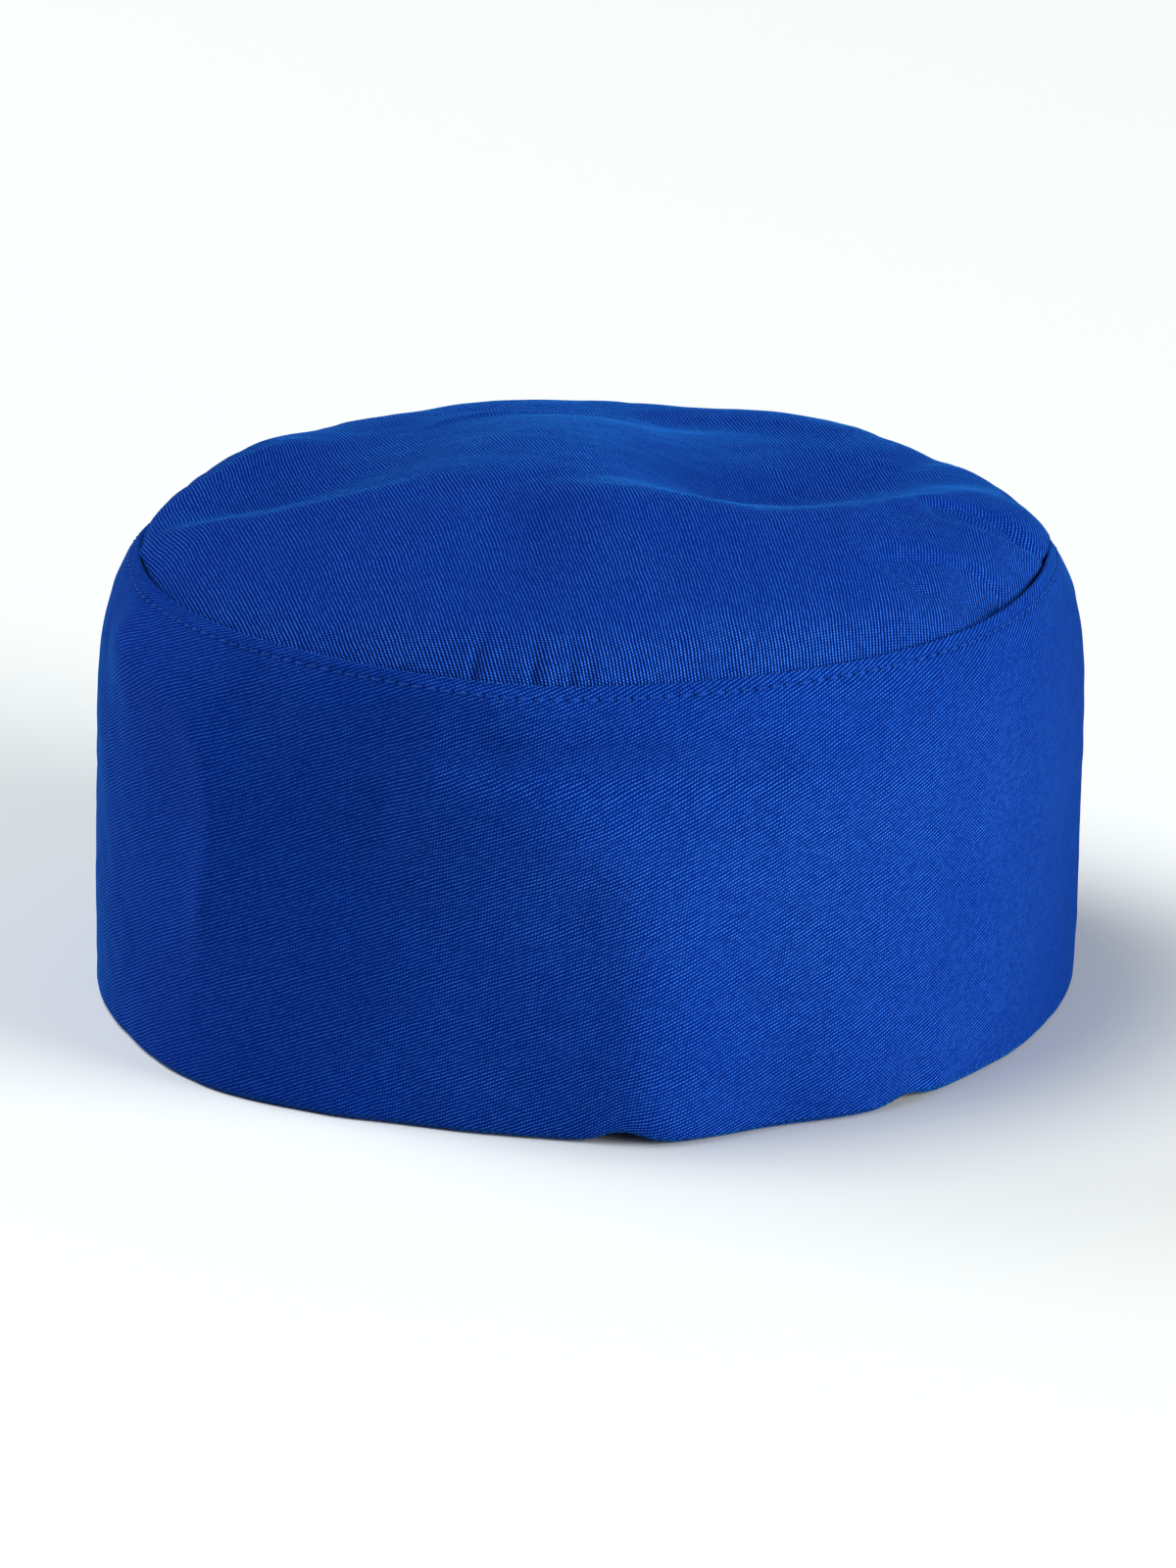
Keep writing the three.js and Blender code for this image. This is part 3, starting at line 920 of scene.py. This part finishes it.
def twill(name, look, needle=None):
    material, tree = newMaterial(name)
    uv = addNode(tree, "ShaderNodeUVMap", uv_map="weave").outputs["UV"]
    parts = addNode(tree, "ShaderNodeSeparateXYZ", {0: uv}).outputs
    reach = addNode(tree, "ShaderNodeVectorMath", {0: uv}, operation="LENGTH").outputs["Value"]
    known = {"u": parts[0], "v": parts[1], "reach": reach}
    for noise, scale, detail, dimensions in clothNoise:
        inputs = {"Vector": uv, "Scale": scale, "Detail": detail}
        known[noise] = addNode(tree, "ShaderNodeTexNoise", inputs, noise_dimensions=dimensions).outputs["Fac"]
    addSums(tree, known, litZoneRows(look) + weaveRows(look))
    place = addNode(tree, "ShaderNodeCombineXYZ", {0: known["lineNumber"], 1: known["beadNumber"]}).outputs[0]
    known["chance"] = addNode(tree, "ShaderNodeTexWhiteNoise", {0: place}, noise_dimensions="2D").outputs[0]
    addSums(tree, known, floatRows(look))
    if needle:
        addSums(tree, known, needleRows(needle))
    dye = {"Factor": known["fuzz"], "A": colour(look["deep"]), "B": colour(look["light"])}
    dyed = addNode(tree, "ShaderNodeMix", dye, data_type="RGBA").outputs[2]
    shading = {0: dyed, "Scale": known["shade"]}
    shaded = addNode(tree, "ShaderNodeVectorMath", shading, operation="SCALE").outputs[0]
    # a painted highlight of the pale tint, added to the cloth's colour on the tops of the floats
    highlightScaling = {0: colour(look["highlightTint"])[:3], "Scale": known["paintedHighlight"]}
    paintedHighlight = addNode(tree, "ShaderNodeVectorMath", highlightScaling, operation="SCALE").outputs[0]
    woven = addNode(tree, "ShaderNodeVectorMath", {0: shaded, 1: paintedHighlight}, operation="ADD").outputs[0]
    relief = {"Height": known["height"], "Strength": 1.0, "Distance": look["weaveDepth"] * mm}
    shader = addNode(
        tree,
        "ShaderNodeBsdfPrincipled",
        {
            "Base Color": woven,
            "Normal": addNode(tree, "ShaderNodeBump", relief).outputs[0],
            "Roughness": look["roughness"],
            "IOR": 1.5,
            "Specular IOR Level": look["shine"],
            "Sheen Weight": look["sheen"],
            "Sheen Roughness": look["sheenRoughness"],
            "Sheen Tint": colour(look["sheenTint"]),
        },
    )
    addNode(tree, "ShaderNodeOutputMaterial", {"Surface": shader.outputs[0]})
    return material


# Spun polyester sewing thread, twisted and dyed to the cloth: rounder and a little glossier than the twill,
# so a stitch shows as a short lighter dash.
polyesterThread = {
    "Base Color": colour("#124ca8"),
    "Roughness": 0.6,
    "IOR": 1.5,
    "Specular IOR Level": 0.15,
    "Sheen Weight": 0.2,
    "Sheen Roughness": 0.3,
    "Sheen Tint": colour("#6ab0ff"),
}

# Uncoated backdrop paper on a roll, pressed smooth: an even, almost white ground without gloss.
backdropPaper = {"Base Color": colour("#f3f3f3"), "Roughness": 0.9}


def plain(name, look):
    material, tree = newMaterial(name)
    shader = addNode(tree, "ShaderNodeBsdfPrincipled", look)
    addNode(tree, "ShaderNodeOutputMaterial", {"Surface": shader.outputs[0]})
    return material


bandCloth, bandAlong, stitchRow = makeBand()
topStitches, stitchPitch = makeStitches(bandAlong)
needle = {"row": stitchRow, "pitch": stitchPitch, "radius": 0.42, "sharp": 14, "dark": 0.6, "deep": 2}
crownCloth = makeCrown()
bandCloth.data.materials.append(twill("bandTwill", bandTwill, needle))
crownCloth.data.materials.append(twill("crownTwill", crownTwill))
topStitches.data.materials.append(plain("polyesterThread", polyesterThread))
print("materials", len(bpy.data.materials))

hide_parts("band")
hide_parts("crown")
for piece in (bandCloth, crownCloth, topStitches):
    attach(piece, "root")

# The studio. From here on lengths are in metres.
studio = {
    "floorReach": 6,
    "floorDrop": 0.0002,
    "lightAim": (0, 0, 0.05),
    "worldColour": (0.72, 0.87, 1, 1),
    "worldStrength": 0.2,
    "gamma": 0.85,  # the contrast of a camera's tone curve
}

reach, drop = studio["floorReach"], -studio["floorDrop"]
corners = [(-reach, -reach, drop), (reach, -reach, drop), (reach, reach, drop), (-reach, reach, drop)]
floorMesh = bpy.data.meshes.new("floor")
floorMesh.from_pydata(corners, [], [(0, 1, 2, 3)])
floor = bpy.data.objects.new("floor", floorMesh)
scene.collection.objects.link(floor)
floorMesh.materials.append(plain("backdropPaper", backdropPaper))

# A low key from the right, a fill from behind the left and a soft top light; azimuth is counted from the
# front to the right.
lights = {
    "key": {"azimuth": 60, "elevation": 15, "distance": 6, "size": 4.2, "power": 492, "colour": (1, 1, 0.9)},
    "leftFill": {
        "azimuth": -120, "elevation": 26, "distance": 5, "size": 3.2, "power": 120, "colour": (0.9, 0.96, 1)
    },
    "top": {"azimuth": -85, "elevation": 68, "distance": 5, "size": 3.4, "power": 142, "colour": (1, 1, 0.95)},
}
for name, row in lights.items():
    light = bpy.data.lights.new(name, "AREA")
    light.shape = "DISK"
    light.size = row["size"]
    light.energy = row["power"]
    light.color = row["colour"]
    lamp = bpy.data.objects.new(name, light)
    scene.collection.objects.link(lamp)
    turned, raised = math.radians(row["azimuth"]), math.radians(row["elevation"])
    level = row["distance"] * math.cos(raised)
    place = (level * math.sin(turned), -level * math.cos(turned), row["distance"] * math.sin(raised))
    direction = np.array(studio["lightAim"]) - np.array(place)
    lamp.location = place
    lamp.rotation_euler = (
        math.acos(-direction[2] / np.linalg.norm(direction)),
        0,
        math.atan2(direction[1], direction[0]) - math.pi / 2,
    )

world = bpy.data.worlds.new("studio")
world.use_nodes = True
background = world.node_tree.nodes["Background"].inputs
background["Color"].default_value = studio["worldColour"]
background["Strength"].default_value = studio["worldStrength"]
scene.world = world

view = {"distance": 2.8, "elevation": 17.5, "aim": 0.040, "lens": 330.1, "sensor": 36, "clipEnd": 20}
camera = bpy.data.objects.new("camera", bpy.data.cameras.new("camera"))
scene.collection.objects.link(camera)
camera.data.lens = view["lens"]
camera.data.sensor_width = view["sensor"]
camera.data.clip_end = view["clipEnd"]
rise = math.radians(view["elevation"])
camera.location = (0, -view["distance"] * math.cos(rise), view["aim"] + view["distance"] * math.sin(rise))
camera.rotation_euler = (math.pi / 2 - rise, 0, 0)
scene.camera = camera
scene.view_settings.view_transform = "Standard"
scene.view_settings.gamma = studio["gamma"]
print("studio", len(lights), "lights, camera", view["lens"], "mm")
